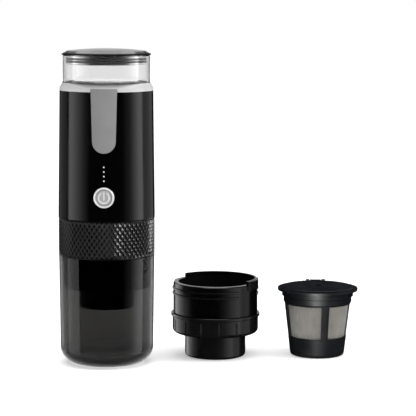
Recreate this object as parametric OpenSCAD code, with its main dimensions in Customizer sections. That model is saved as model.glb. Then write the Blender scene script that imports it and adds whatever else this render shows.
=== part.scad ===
// Portable capsule coffee maker with its cup, a pod adapter and a refillable basket.
// All sizes are in millimetres. The origin is the centre of the cup's base.
// Z points up and the button side faces -Y.

/* [Machine] */
// Largest diameter of the machine, over the knurled ring
unit_d = 60; // [59.5:0.5:66]
// Height of the cup from the table to its rim
cup_h = 68; // [64:1:80]
// Height of the knurled ring
ring_h = 23.6; // [23:0.2:28]
// Height of the black body shell
body_h = 78.4; // [77:0.2:90]
// How far the shell's radius shrinks from its foot to its top
body_taper = 1.05; // [0.6:0.05:1.2]
// Wall thickness of the body shell
shell_wall = 2; // [1.8:0.1:2.2]

/* [Cup] */
// Wall thickness of the cup
cup_wall = 1.7; // [1.5:0.1:1.9]
// Floor thickness of the cup
cup_floor = 2.6; // [2:0.1:4]
// Outside radius of the corner between the cup's wall and base
cup_corner = 10.5; // [6:0.5:12]
// How far the cup's radius shrinks from its rim to its foot
cup_taper = 0.75; // [0.3:0.05:1]

/* [Knurled ring] */
// Number of diamonds around the ring
knurl_count = 60; // [48:1:72]
// Number of diamonds up the ring
knurl_rows = 5; // [4:1:6]
// Height of each diamond's point above the valleys
knurl_depth = 0.75; // [0.5:0.05:0.8]
// Plain band left above and below the diamonds
ring_border = 0.9; // [0.7:0.1:1.5]

/* [Water tank] */
// Height of the sloping shoulder above the shell
shoulder_h = 5.3; // [4:0.1:7]
// Height of the clear collar above the shoulder
collar_h = 16.2; // [14:0.2:20]
// Outside diameter of the clear collar
collar_d = 53.6; // [52.6:0.2:54.6]
// Wall thickness of the clear collar
collar_wall = 1.6; // [1.4:0.1:1.8]
// Width of the level window at its top
window_w = 16.3; // [15.2:0.1:18]
// Width of the level window where its round end starts
window_low_w = 14.6; // [13:0.1:15]
// Height of the level window's lower end above the shell's foot
window_up = 41.4; // [40.6:0.2:46]

/* [Lid] */
// Height of the lid cap
lid_h = 3.8; // [3.4:0.1:5]
// Width of the sloping band round the lid's top
lid_slope_w = 3.2; // [2:0.1:4]
// How far the lid's edge stands out past the collar
lid_lip = 0.85; // [0.5:0.05:1.5]
// Depth of the plug under the lid
plug_h = 5.8; // [5.4:0.1:9]

/* [Controls] */
// Outside diameter of the button's bright ring
button_d = 12.5; // [12:0.5:14]
// Height of the button's centre above the shell's foot
button_up = 14.7; // [13.5:0.1:16]
// Diameter of each light dot
led_d = 0.9; // [0.7:0.1:1.3]
// Distance between neighbouring light dots
led_pitch = 2.8; // [2.4:0.1:3]
// Height of the lowest light dot above the shell's foot
led_up = 24.9; // [24:0.1:26]
// Diameter of the power symbol at the middle of its stroke
mark_d = 6.4; // [5.8:0.1:7]
// Travel of the button
button_travel = 0.6; // [0.3:0.1:0.7]

/* [Capsule holder] */
// Outside diameter of the fitted holder's spout
spout_d = 34.5; // [33:0.5:38]
// How far the fitted holder's spout hangs below the ring
spout_drop = 33.2; // [30:0.2:38]
// Height of the fitted holder's grooved skirt
holder_skirt_h = 18.7; // [16:0.2:20]
// Number of finger grooves around a skirt
groove_count = 15; // [10:1:20]

/* [Pod adapter] */
// Outside diameter of the adapter's spout
adapter_spout_d = 38.6; // [37.6:0.2:42]
// Height of the adapter's spout
adapter_spout_h = 15; // [12:0.5:18]
// Height of the adapter's grooved skirt
adapter_skirt_h = 10.8; // [9:0.2:14]
// Height of the raised fence above the adapter's rim
fence_h = 2.4; // [1.5:0.1:2.5]
// Adapter's place to the right of the machine's axis
adapter_x = 68; // [66:1:80]
// Adapter's place behind the machine's axis
adapter_y = 22; // [10:1:30]

/* [Basket] */
// Outside diameter of the basket's flange
flange_d = 51; // [50:0.2:51.2]
// Height of the basket up to its flange's top
basket_h = 43.2; // [41:0.2:46]
// Outside diameter of the basket's foot
foot_d = 34.8; // [33:0.2:36]
// Height of the solid foot below the mesh
foot_h = 12.3; // [9:0.1:14]
// Basket's place to the right of the machine's axis
basket_x = 133.4; // [128:1:150]
// Basket's place behind the machine's axis
basket_y = 26; // [10:1:36]

/* [Clearances] */
// Gap kept between pieces that move past each other
slip = 0.3; // [0.25:0.01:0.35]
// Radial gap of a running fit
running = 0.05; // [0.03:0.01:0.1]
// Gap kept between pieces that are fixed side by side
joint_gap = 0.05; // [0.02:0.01:0.1]

/* [Hidden] */
$fn = 96;

// Heights up the machine
unit_r = unit_d / 2;
ring_z = cup_h + 0.2;
body_z = ring_z + ring_h;
body_top = body_z + body_h;
collar_z = body_top + shoulder_h;
rim_z = collar_z + collar_h;
lid_z = rim_z + slip;
lid_top = lid_z + lid_h;
pan_z = body_z - 1;
pan_floor = 2.4;
tray_z = pan_z + pan_floor;
tray_t = 1.6;
bay_z = tray_z + tray_t;
spigot_h = 5.2;
pan_flange_z = body_z + spigot_h;
pan_flange_t = 1.6;
tank_z = body_z + 39.2;
tank_floor = 1.8;
button_z = body_z + button_up;
flange_h = 1.8;
window_top = body_top + flange_h + 0.2;

// Radii of the machine
function body_r(z) = unit_r - 0.05 - body_taper * (z - body_z) / body_h;
edge_r = unit_r - 0.15;
core_r = unit_r - knurl_depth - 0.35;
bore_r = unit_r - 2.2;
lug_r = bore_r - 0.7;
wall_r = lug_r - slip;
rib_r = bore_r - slip;
ridge_r = bore_r + 0.45;
cup_r = unit_r - 0.3;
spigot_r = body_r(body_z) - shell_wall - 0.35;
spigot_in = spigot_r - 2.4;
pan_r = spigot_in - 0.2;
pan_in = pan_r - 1.6;
tank_r = body_r(body_top) - shell_wall - 0.45;
tank_in = tank_r - 1.8;
collar_r = collar_d / 2;
collar_in = collar_r - collar_wall;
plug_r = collar_in - slip;
seal_r = collar_in - running;
lid_r = collar_r + lid_lip;

// Places in the bay between the brewing chamber and the tank
board_y = body_r(body_z + 20) - shell_wall - 4.6;
board_t = 1.2;
pump_y = -9;
pump_r = 10.4;
port_z = bay_z + 7.2;
hose_x = 18;
hose_r = 2.6;
barb_r = 1.6;
bend_r = 4;
cell_r = 8.2;
cell_h = 34.2;
cell_x = 8.4;
cell_y = 11.6;
tie_r = pan_in - 2.8;
tie_x = tie_r * cos(8);
tie_y = tie_r * sin(8);
screw_r = spigot_r - 1.3;
face_y = body_r(button_z);
tact_front = board_y + 3;
stem_in = 1.1;
stem_out = button_travel + slip / 2;
usb_z = pan_flange_z + pan_flange_t + 2.6;

// Bayonet: each half turn has a long pair of ribs, a gap for the lug and a stop block
rib_up = [12.6, 16];
rib_arc = 138;
gap_arc = 16;
block_arc = 180 - rib_arc - gap_arc;
lug_arc = 12;
lug_up = [10.3, 13.7];
lug_h = 1.2;
stop_up = 9.8;
rim_edge = 0.5;
twist = 45;
chamber_h = ring_h - 3.8;
seat_h = 30.5;
pump_h = 12.7;
ridge_h = 2;

module spin(points) {
    rotate_extrude()
        polygon(points);
}

module tube(r_out, r_in, z0, z1) {
    spin([[r_in, z0], [r_out, z0], [r_out, z1], [r_in, z1]]);
}

module rod(r, z0, z1) {
    translate([0, 0, z0])
        cylinder(r = r, h = z1 - z0);
}

module rod_x(r, y, z, x0, x1) {
    translate([x0, y, z])
        rotate([0, 90, 0])
            cylinder(r = r, h = x1 - x0);
}

module rod_y(r, x, z, y0, y1) {
    translate([x, y0, z])
        rotate([-90, 0, 0])
            cylinder(r = r, h = y1 - y0);
}

module block(x0, x1, y0, y1, z0, z1) {
    translate([x0, y0, z0])
        cube([x1 - x0, y1 - y0, z1 - z0]);
}

// A ring piece of the given profile, turned from angle a0 through arc
module sector(a0, arc, points) {
    rotate([0, 0, a0])
        rotate_extrude(angle = arc)
            polygon(points);
}

// Flat slot shape standing in the XZ plane, pushed along Y
module slot_y(w, h, z, y0, y1) {
    block(-w / 2 + h / 2, w / 2 - h / 2, y0, y1, z - h / 2, z + h / 2);
    for (side = [-1, 1])
        rod_y(h / 2, side * (w - h) / 2, z, y0, y1);
}

// Cup: tapered wall, large round corner and a counterbored rim
module cup_shape(foot, top, corner, floor_z, top_z) {
    polygon([[0, floor_z], [foot - corner, floor_z], [foot - corner, floor_z + corner],
        [foot, floor_z + corner], [top, top_z], [0, top_z]]);
    translate([foot - corner, floor_z + corner])
        circle(r = corner);
}

module cup() {
    foot = cup_r - cup_taper;
    color([0.16, 0.15, 0.15, 0.6])
        rotate_extrude()
            difference() {
                cup_shape(foot, cup_r, cup_corner, 0, cup_h);
                cup_shape(foot - cup_wall, cup_r - cup_wall, cup_corner - cup_wall,
                    cup_floor, cup_h + 1);
                polygon([[0, cup_h - ridge_h - slip], [ridge_r + running, cup_h - ridge_h - slip],
                    [ridge_r + running, cup_h + 1], [0, cup_h + 1]]);
            }
}

// Diamond knurl: a grid of points where every second one stands out as a pyramid's point,
// joined along the valleys; both ends run a little way into the plain bands
module knurl_band() {
    cols = 2 * knurl_count;
    levels = 2 * knurl_rows;
    z0 = ring_z + ring_border;
    step_z = (ring_h - 2 * ring_border) / levels;
    inner = core_r - 0.4;
    sink = 0.3;
    function height(j) = j < 0 ? z0 - sink : j > levels ? z0 + levels * step_z + sink : z0 + j * step_z;
    function row(j) = min(max(j, 0), levels);
    function full(j) = j > 0 && j < levels;
    function peak(i, j) = (i + row(j)) % 2 == 1;
    function radius(i, j) = unit_r - (peak(i, j) ? (full(j) ? 0 : 0.25) : knurl_depth);
    function spot(r, i, z) = [r * cos(180 / knurl_count * i), r * sin(180 / knurl_count * i), z];
    rows = levels + 3;
    points = concat(
        [for (j = [-1 : levels + 1]) for (i = [0 : cols - 1]) spot(radius(i, j), i, height(j))],
        [for (j = [-1, levels + 1]) for (i = [0 : cols - 1]) spot(inner, i, height(j))]
    );
    function at(i, j) = (j + 1) * cols + i % cols;
    function within(i, end) = (rows + end) * cols + i % cols;
    skin = [for (j = [-1 : levels]) for (i = [0 : cols - 1]) for (half = [0, 1])
        peak(i, j)
            ? (half == 0 ? [at(i, j), at(i, j + 1), at(i + 1, j)]
                : [at(i + 1, j), at(i, j + 1), at(i + 1, j + 1)])
            : (half == 0 ? [at(i, j), at(i, j + 1), at(i + 1, j + 1)]
                : [at(i, j), at(i + 1, j + 1), at(i + 1, j)])];
    lining = [for (i = [0 : cols - 1]) for (half = [0, 1])
        half == 0 ? [within(i, 0), within(i + 1, 0), within(i + 1, 1)]
            : [within(i, 0), within(i + 1, 1), within(i, 1)]];
    under = [for (i = [0 : cols - 1]) for (half = [0, 1])
        half == 0 ? [within(i, 0), at(i, -1), at(i + 1, -1)]
            : [within(i, 0), at(i + 1, -1), within(i + 1, 0)]];
    over = [for (i = [0 : cols - 1]) for (half = [0, 1])
        half == 0 ? [within(i, 1), at(i + 1, levels + 1), at(i, levels + 1)]
            : [within(i, 1), within(i + 1, 1), at(i + 1, levels + 1)]];
    polyhedron(points = points, faces = concat(skin, lining, under, over));
}

module grip_ring() {
    low = ring_z + ring_border;
    high = body_z - ring_border;
    color([0.09, 0.09, 0.1])
        difference() {
            union() {
                spin([[bore_r, ring_z], [edge_r - 0.3, ring_z], [edge_r, ring_z + 0.3], [edge_r, low],
                    [core_r, low], [core_r, high], [edge_r, high], [edge_r, body_z - 0.3],
                    [edge_r - 0.3, body_z], [spigot_r, body_z], [spigot_r, body_z + spigot_h],
                    [spigot_in, body_z + spigot_h], [spigot_in, pan_z], [bore_r, pan_z]]);
                knurl_band();
                for (side = [0, 180])
                    for (up = lug_up)
                        sector(side - lug_arc / 2, lug_arc, [[lug_r, ring_z + up],
                            [bore_r + 0.5, ring_z + up], [bore_r + 0.5, ring_z + up + lug_h],
                            [lug_r, ring_z + up + lug_h]]);
            }
            for (a = [30, 150, 270])
                rotate([0, 0, a])
                    translate([screw_r, 0, 0])
                        rod(0.7, body_z + 0.6, body_z + spigot_h + 1);
        }
}

// Outside of a holder from its ridge up: wall, ribs and a stop block on each of the given sides,
// with its ridge's top at z
module bayonet_outside(z, turn, stops) {
    rim = z + chamber_h;
    spin([[0, z - 0.5], [wall_r, z - 0.5], [wall_r, rim - rim_edge], [wall_r - rim_edge, rim],
        [0, rim]]);
    for (side = [0, 180])
        for (up = rib_up)
            sector(turn + side - gap_arc / 2 - rib_arc, rib_arc, [[wall_r - 0.6, z + up - 1],
                [rib_r, z + up - 0.4], [rib_r, z + up + 0.4], [wall_r - 0.6, z + up + 1]]);
    for (side = stops)
        sector(turn + side + gap_arc / 2, block_arc - 2, [[wall_r - 0.9, z + stop_up],
            [rib_r - 0.08, z + stop_up], [rib_r - 0.08, rim - 0.3], [wall_r - 0.9, rim - 0.3]]);
    spin([[0, z - ridge_h], [ridge_r - 0.4, z - ridge_h], [ridge_r, z - ridge_h + 0.4],
        [ridge_r, z - 0.2], [ridge_r - 0.2, z], [0, z]]);
}

// Outside of a holder from its ridge down: grooved skirt with a round lower corner, then the spout
module skirt_outside(z, skirt_h, tip_r, tip_h) {
    r = bore_r - 0.5;
    low = z - skirt_h;
    corner = 3;
    difference() {
        rotate_extrude() {
            polygon([[0, low], [r - corner, low], [r - corner, low + corner], [r, low + corner],
                [r, z + 0.5], [0, z + 0.5]]);
            translate([r - corner, low + corner])
                circle(r = corner);
        }
        for (i = [0 : groove_count - 1])
            rotate([0, 0, i * 360 / groove_count + 5 - 90])
                translate([r + 0.35, 0, 0])
                    rod(0.8, low - 1, z - 1.2);
    }
    rotate_extrude() {
        polygon([[0, low - tip_h], [tip_r - 2, low - tip_h], [tip_r - 2, low - tip_h + 2],
            [tip_r, low - tip_h + 2], [tip_r, low + 0.5], [0, low + 0.5]]);
        translate([tip_r - 2, low - tip_h + 2])
            circle(r = 2);
    }
}

module capsule_holder() {
    top = ring_z + chamber_h;
    low = ring_z - ridge_h - holder_skirt_h;
    tip = ring_z - spout_drop;
    color([0.05, 0.05, 0.055])
        difference() {
            union() {
                bayonet_outside(ring_z, twist, [0, 180]);
                skirt_outside(ring_z - ridge_h, holder_skirt_h, spout_d / 2, low - tip);
            }
            spin([[0, low + 2], [wall_r - 2.9, low + 2], [wall_r - 2.9, top - 1.8],
                [wall_r - 1.9, top - 1.8], [wall_r - 1.9, top + 1], [0, top + 1]]);
            rod(spout_d / 2 - 1.9, tip + 2, low + 3);
            rod(3.5, tip - 1, tip + 3);
        }
}

// Insert that hangs in the holder: top plate with a seat for the capsule's rim, and a drained cup
module capsule_seat() {
    top = ring_z + chamber_h;
    floor_z = top - seat_h;
    color([0.13, 0.13, 0.14])
        difference() {
            union() {
                rod(wall_r - 1.9 - joint_gap, top - 1.8, top);
                rod(17.3, floor_z, top - 1);
            }
            rod(18.9, top - 1.1, top + 1);
            spin([[0, floor_z + 1.6], [12.6, floor_z + 1.6], [15.7, top - 1], [15.7, top], [0, top]]);
            for (i = [0 : 5])
                rotate([0, 0, i * 60])
                    translate([9.4, 0, 0])
                        rod(1.3, floor_z - 1, floor_z + 3);
        }
}

module exit_spikes() {
    z = ring_z + chamber_h - seat_h + 1.6;
    color([0.75, 0.75, 0.77])
        union() {
            rod(6.6, z, z + 0.8);
            for (i = [0 : 2])
                rotate([0, 0, i * 120 + 30])
                    translate([4.2, 0, z + 0.5])
                        cylinder(r1 = 1.3, r2 = 0.15, h = 4.5);
        }
}

// Floor of the machine: a pan screwed onto the ring's spigot, with a channel to the needle
module brew_pan() {
    color([0.14, 0.14, 0.15])
        difference() {
            union() {
                spin([[0, pan_z], [pan_r, pan_z], [pan_r, pan_flange_z], [spigot_r, pan_flange_z],
                    [spigot_r, pan_flange_z + pan_flange_t], [pan_in, pan_flange_z + pan_flange_t],
                    [pan_in, tray_z], [0, tray_z]]);
                rod(4, pan_z - 1.9, pan_z + 0.5);
                translate([hose_x, pump_y, 0])
                    rod(barb_r, tray_z - 0.5, tray_z + 4.2);
            }
            rod(1.5 + joint_gap, pan_z - 3, tray_z - 0.7);
            translate([hose_x, pump_y, 0])
                rod(0.9, tray_z - 1.2, tray_z + 5);
            rotate([0, 0, atan2(pump_y, hose_x)])
                rod_x(0.7, 0, tray_z - 1.2, 0, norm([hose_x, pump_y]));
            for (side = [-1, 1])
                translate([side * tie_x, tie_y, 0]) {
                    rod(1.15, pan_z - 1, tray_z + 1);
                    rod(2.1, pan_z - 1, pan_z + 1.5);
                }
            for (a = [30, 150, 270])
                rotate([0, 0, a])
                    translate([screw_r, 0, 0])
                        rod(0.95, pan_flange_z - 1, pan_flange_z + pan_flange_t + 1);
        }
}

module brew_gasket() {
    color([0.75, 0.74, 0.71])
        union() {
            tube(pan_r - 0.6, 10, pan_z - 1.2, pan_z);
            tube(22.6, 21, pan_z - 2.2, pan_z - 1);
            tube(16.6, 15.2, pan_z - 2.2, pan_z - 1);
        }
}

module piercing_needle() {
    color([0.78, 0.78, 0.8])
        difference() {
            union() {
                rod(1.5, pan_z - 4.4, tray_z - 1.9);
                translate([0, 0, pan_z - 7.4])
                    cylinder(r1 = 0.2, r2 = 1.5, h = 3);
            }
            rod(0.75, pan_z - 4, tray_z);
            rod_x(0.6, 0, pan_z - 3.4, -3, 3);
        }
}

// Tray in the pan: pump saddle, cell cups and the posts for the two long screws
module chassis() {
    color([0.2, 0.2, 0.22])
        difference() {
            intersection() {
                union() {
                    rod(pan_in - 0.2, tray_z, bay_z);
                    translate([0, pump_y, 0])
                        rod(12.1, bay_z - 0.5, bay_z + 3.5);
                    for (side = [-1, 1]) {
                        translate([side * cell_x, cell_y, 0])
                            rod(cell_r + 1.3, bay_z - 0.5, bay_z + 8);
                        translate([side * tie_x, tie_y, 0])
                            rod(2.5, bay_z - 0.5, tank_z - 4.1);
                    }
                }
                rod(pan_in - 0.2, tray_z - 1, tank_z);
            }
            translate([0, pump_y, 0])
                rod(pump_r + 0.4, bay_z, bay_z + 10);
            for (side = [-1, 1]) {
                translate([side * cell_x, cell_y, 0])
                    rod(cell_r + joint_gap, bay_z, tank_z);
                translate([side * tie_x, tie_y, 0])
                    rod(1.15, tray_z - 1, tank_z);
            }
            translate([hose_x, pump_y, 0])
                rod(hose_r + 0.4, tray_z - 1, bay_z + 10);
        }
}

module pump_pad() {
    color([0.08, 0.08, 0.08])
        translate([0, pump_y, 0])
            tube(pump_r - 0.2, 5, bay_z, bay_z + 1.5);
}

module pump_head() {
    color([0.85, 0.85, 0.83])
        translate([0, pump_y, 0])
            difference() {
                union() {
                    rod(pump_r, bay_z + 1.5, bay_z + pump_h - 1.5);
                    rod(pump_r - 1.2, bay_z + pump_h - 1.7, bay_z + pump_h);
                    rod_x(barb_r, 0, port_z, -13.6, 13.6);
                }
                rod_x(0.9, 0, port_z, -14, -8);
                rod_x(0.9, 0, port_z, 8, 14);
            }
}

module pump_motor() {
    z = bay_z + pump_h;
    color([0.7, 0.71, 0.73])
        translate([0, pump_y, 0])
            difference() {
                union() {
                    rod(9.6, z, z + 19.6);
                    rod(3.2, z + 19, z + 21);
                    for (side = [-1, 1])
                        block(side * 6 - 0.6, side * 6 + 0.6, -0.3, 0.3, z + 19, z + 21.6);
                }
                for (a = [60, 120, 240, 300])
                    rotate([0, 0, a])
                        block(7.2, 11, -0.9, 0.9, z + 4, z + 9);
            }
}

// Hose: a straight run over the pump's barb, a quarter bend and a straight run to the other barb.
// It is drawn round the pump's port and then put in place.
module hose(side, up, far_z) {
    bend_x = hose_x - bend_r;
    far = far_z - port_z;
    start = side > 0 ? (up > 0 ? -90 : 0) : (up > 0 ? 180 : 90);
    translate([0, pump_y, port_z])
        union() {
            translate([side * 10.8, 0, 0])
                rotate([0, side * 90, 0])
                    tube(hose_r, barb_r + joint_gap, 0, bend_x - 10.8);
            translate([side * bend_x, 0, up * bend_r])
                rotate([90, 0, 0])
                    rotate([0, 0, start])
                        rotate_extrude(angle = 90)
                            translate([bend_r, 0])
                                difference() {
                                    circle(r = hose_r);
                                    circle(r = barb_r + joint_gap);
                                }
            translate([side * hose_x, 0, 0])
                tube(hose_r, barb_r + joint_gap, min(up * bend_r, far), max(up * bend_r, far));
        }
}

module inlet_hose() {
    color([0.9, 0.9, 0.88])
        hose(-1, 1, tank_z - 0.4);
}

module outlet_hose() {
    color([0.9, 0.9, 0.88])
        hose(1, -1, tray_z + 0.4);
}

module battery_cells() {
    color([0.2, 0.35, 0.6])
        for (side = [-1, 1])
            translate([side * cell_x, cell_y, 0])
                union() {
                    rod(cell_r, bay_z, bay_z + cell_h - 0.8);
                    rod(3, bay_z + cell_h - 1.2, bay_z + cell_h);
                }
}

module cell_tabs() {
    z = bay_z + cell_h;
    color([0.75, 0.74, 0.7])
        union() {
            block(-cell_x - 3, cell_x + 3, cell_y - 2.5, cell_y + 2.5, z, z + 0.3);
            block(-1.5, 1.5, cell_y - 6, cell_y - 2, z, z + 0.3);
        }
}

board_x = 12;
board_low = pan_flange_z + pan_flange_t + 1.6;
board_high = tank_z - 1.5;
boss_x = 9.5;
boss_z = [board_low + 2.2, board_high - 2.4];

module control_board() {
    color([0.08, 0.3, 0.18])
        difference() {
            block(-board_x, board_x, -board_y, -board_y + board_t, board_low, board_high);
            for (side = [-1, 1])
                for (z = boss_z)
                    rod_y(0.95, side * boss_x, z, -board_y - 1, -board_y + board_t + 1);
        }
}

module board_parts() {
    back = -board_y + board_t;
    color([0.12, 0.12, 0.13])
        union() {
            block(-6.5, -1.5, back, back + 1.2, body_z + 24, body_z + 29);
            block(2, 6, back, back + 1, body_z + 25, body_z + 28);
            block(-10.5, -4.5, back, back + 3.4, body_z + 15.5, body_z + 19.5);
            block(5, 10.5, back, back + 3.2, body_z + 15, body_z + 20);
            rod_y(2, 8.4, body_z + 30.5, back, back + 4);
        }
}

module status_leds() {
    color([0.95, 0.95, 0.85])
        for (i = [0 : 3])
            block(-0.8, 0.8, -board_y - 0.8, -board_y, body_z + led_up + i * led_pitch - 0.5,
                body_z + led_up + i * led_pitch + 0.5);
}

// Light guide: a bar behind the shell with a pin through it for each light
module light_guide() {
    low = body_z + led_up;
    color([0.95, 0.96, 0.97])
        union() {
            block(-1.6, 1.6, -board_y - 2.3, -board_y - 1, low - 1.4, low + 3 * led_pitch + 1.4);
            for (i = [0 : 3])
                rod_y(led_d / 2, 0, low + i * led_pitch, -body_r(low + i * led_pitch) - 0.1,
                    -board_y - 1.5);
        }
}

module tact_switch() {
    color([0.1, 0.1, 0.1])
        difference() {
            block(-3, 3, -tact_front, -board_y, button_z - 3, button_z + 3);
            rod_y(1.5 + slip, 0, button_z, -tact_front - 1,
                -tact_front + stem_in + button_travel + slip);
        }
}

module switch_stem() {
    color([0.6, 0.12, 0.1])
        rod_y(1.5, 0, button_z, -tact_front - stem_out, -tact_front + stem_in);
}

module button_bezel() {
    color([0.82, 0.82, 0.83])
        translate([0, 0, button_z])
            rotate([90, 0, 0])
                spin([[button_d / 2 - 1.15, face_y - 1.45], [button_d / 2, face_y - 1.45],
                    [button_d / 2, face_y + 0.3], [button_d / 2 - 0.3, face_y + 0.55],
                    [button_d / 2 - 0.8, face_y + 0.55], [button_d / 2 - 1.15, face_y + 0.3]]);
}

module button_cap() {
    r = button_d / 2 - 1.15 - slip;
    back = tact_front + stem_out;
    color([0.55, 0.55, 0.56])
        translate([0, 0, button_z])
            rotate([90, 0, 0])
                spin([[0, back], [1.8, back], [1.8, face_y - 2.5], [r + 0.7, face_y - 2.5],
                    [r + 0.7, face_y - 1.75], [r, face_y - 1.75], [r, face_y + 0.1],
                    [r - 0.35, face_y + 0.4], [0, face_y + 0.4]]);
}

// Power symbol: an open ring and a short bar
module button_mark() {
    r = mark_d / 2;
    stroke = 0.9;
    mouth = 2.8;
    color([0.9, 0.9, 0.9])
        translate([0, -face_y - 0.4, button_z])
            rotate([90, 0, 0])
                linear_extrude(height = 0.2)
                    union() {
                        difference() {
                            circle(r = r + stroke / 2);
                            circle(r = r - stroke / 2);
                            translate([-mouth / 2, 0])
                                square([mouth, r + stroke]);
                        }
                        translate([-stroke / 2, -r / 2])
                            square([stroke, 1.5 * r + stroke / 2]);
                    }
}

module charge_board() {
    z = pan_flange_z + pan_flange_t;
    color([0.08, 0.3, 0.18])
        block(-5, 5, cell_y + cell_r + 0.85, body_r(z) - shell_wall - 1.2, z, z + 1);
}

module charge_socket() {
    back = cell_y + cell_r + 0.7;
    front = body_r(usb_z) - shell_wall - 0.4;
    color([0.72, 0.72, 0.74])
        union() {
            difference() {
                slot_y(9, 3.2, usb_z, back, front);
                slot_y(8.3, 2.5, usb_z, back + 1.4, front + 1);
            }
            block(-3.3, 3.3, back + 1, front - 0.8, usb_z - 0.35, usb_z + 0.35);
        }
}

// Outline of the level window, with its round end down, in the XZ plane
module window_shape(inset) {
    low = body_z + window_up + window_low_w / 2;
    polygon([[-window_low_w / 2 + inset, low], [window_low_w / 2 - inset, low],
        [window_w / 2 - inset, window_top], [-window_w / 2 + inset, window_top]]);
    translate([0, low])
        circle(r = window_low_w / 2 - inset);
}

module window_push(inset) {
    translate([0, -14, 0])
        rotate([90, 0, 0])
            linear_extrude(height = 20)
                window_shape(inset);
}

module body_shell() {
    foot = body_r(body_z);
    top = body_r(body_top);
    button_r = button_d / 2;
    color([0.03, 0.03, 0.035])
        difference() {
            union() {
                spin([[foot - shell_wall, body_z], [foot - 0.3, body_z], [foot, body_z + 0.3],
                    [top, body_top], [top - shell_wall, body_top]]);
                for (side = [-1, 1])
                    for (z = boss_z)
                        rod_y(1.8, side * boss_x, z,
                            -sqrt(pow(body_r(z) - shell_wall / 2, 2) - boss_x * boss_x), -board_y);
            }
            window_push(0);
            rod_y(button_r + joint_gap, 0, button_z, -unit_r - 2, -face_y + 1.45);
            rod_y(button_r - 0.4, 0, button_z, -unit_r - 2, -board_y - 1);
            for (i = [0 : 3])
                rod_y(led_d / 2 + joint_gap, 0, body_z + led_up + i * led_pitch, -unit_r - 2,
                    -board_y - 1);
            for (side = [-1, 1])
                for (z = boss_z)
                    rod_y(0.7, side * boss_x, z, -board_y - 2.4, -board_y + 1);
            slot_y(9.6, 3.8, usb_z, 20, unit_r + 2);
            slot_y(12.4, 6.4, usb_z, body_r(usb_z) - 0.8, unit_r + 2);
        }
}

module water_tank() {
    flange = body_r(body_top);
    color([0.85, 0.9, 0.92, 0.35])
        difference() {
            union() {
                spin([[0, tank_z], [tank_r, tank_z], [tank_r, body_top], [flange, body_top],
                    [flange - 0.15, body_top + flange_h], [collar_r, collar_z], [collar_r, rim_z - 0.3],
                    [collar_r - 0.3, rim_z], [0, rim_z]]);
                translate([-hose_x, pump_y, 0])
                    rod(barb_r, tank_z - 4.8, tank_z + 0.5);
                for (side = [-1, 1])
                    translate([side * tie_x, tie_y, 0])
                        rod(2.8, tank_z - 4, tank_z + 0.5);
            }
            spin([[0, tank_z + tank_floor], [tank_in, tank_z + tank_floor], [tank_in, body_top + 1],
                [collar_in, collar_z - 1], [collar_in, rim_z + 1], [0, rim_z + 1]]);
            translate([-hose_x, pump_y, 0])
                rod(0.9, tank_z - 6, tank_z + 3);
            for (side = [-1, 1])
                translate([side * tie_x, tie_y, 0])
                    rod(0.9, tank_z - 5, tank_z + 0.6);
            intersection() {
                window_push(0);
                tube(unit_r, tank_r - 0.1, body_top - 0.3, window_top);
            }
        }
}

// Frosted pad on the tank's front that fills the slot in the shell and the notch above it
module level_window() {
    low = body_z + window_up - 1;
    color([0.7, 0.72, 0.73, 0.6])
        intersection() {
            window_push(0.15);
            spin([[tank_r + 0.02, low], [body_r(low) + 0.15, low],
                [body_r(window_top) + 0.15, window_top - joint_gap],
                [tank_r + 0.02, window_top - joint_gap]]);
        }
}

module tank_strainer() {
    z = tank_z + tank_floor;
    color([0.72, 0.72, 0.74])
        translate([-hose_x, pump_y, 0])
            difference() {
                rod(3.2, z, z + 1.6);
                rod(2.6, z - 1, z + 1.1);
                rod(0.45, z, z + 3);
                for (i = [0 : 5])
                    rotate([0, 0, i * 60])
                        translate([1.6, 0, 0])
                            rod(0.45, z, z + 3);
            }
}

module lid_cap() {
    edge = 0.45;
    chamfer = 0.15;
    shelf = lid_r - lid_slope_w;
    drop = 1.4;
    dome_r = (shelf * shelf + drop * drop) / (2 * drop);
    color([0.04, 0.04, 0.045])
        rotate_extrude()
            intersection() {
                polygon([[0, lid_z], [lid_r - chamfer, lid_z], [lid_r, lid_z + chamfer],
                    [lid_r, lid_z + edge], [shelf, lid_top - drop], [shelf - 1, lid_top + 1],
                    [0, lid_top + 1]]);
                translate([0, lid_top - dome_r])
                    circle(r = dome_r, $fn = 720);
            }
}

seal_z = [lid_z - 3.9, lid_z - 2.3];
seal_t = 0.65;

module lid_plug() {
    color([0.2, 0.2, 0.21])
        rotate_extrude()
            difference() {
                polygon([[plug_r - 2.8, lid_z - plug_h], [plug_r - 0.4, lid_z - plug_h],
                    [plug_r, lid_z - plug_h + 0.4], [plug_r, lid_z], [plug_r - 2.8, lid_z]]);
                for (z = seal_z)
                    translate([seal_r - 2 * seal_t - 0.02, z - seal_t - 0.02])
                        square([3, 2 * seal_t + 0.04]);
            }
}

module lid_seals() {
    color([0.06, 0.06, 0.06])
        for (z = seal_z)
            rotate_extrude()
                translate([seal_r - seal_t, z])
                    circle(r = seal_t);
}

module board_screws() {
    color([0.7, 0.7, 0.72])
        for (side = [-1, 1])
            for (z = boss_z)
                union() {
                    rod_y(0.65, side * boss_x, z, -board_y - 2.2, -board_y + board_t + 0.3);
                    rod_y(1.5, side * boss_x, z, -board_y + board_t, -board_y + board_t + 0.9);
                }
}

module ring_screws() {
    z = pan_flange_z + pan_flange_t;
    color([0.7, 0.7, 0.72])
        for (a = [30, 150, 270])
            rotate([0, 0, a])
                translate([screw_r, 0, 0])
                    union() {
                        rod(0.65, body_z + 1, z + 0.3);
                        rod(1.25, z, z + 1);
                    }
}

module tie_screws() {
    color([0.7, 0.7, 0.72])
        for (side = [-1, 1])
            translate([side * tie_x, tie_y, 0])
                union() {
                    rod(1.9, pan_z + 0.1, pan_z + 1.4);
                    rod(0.85, pan_z + 1, tank_z + 0.4);
                }
}

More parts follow.
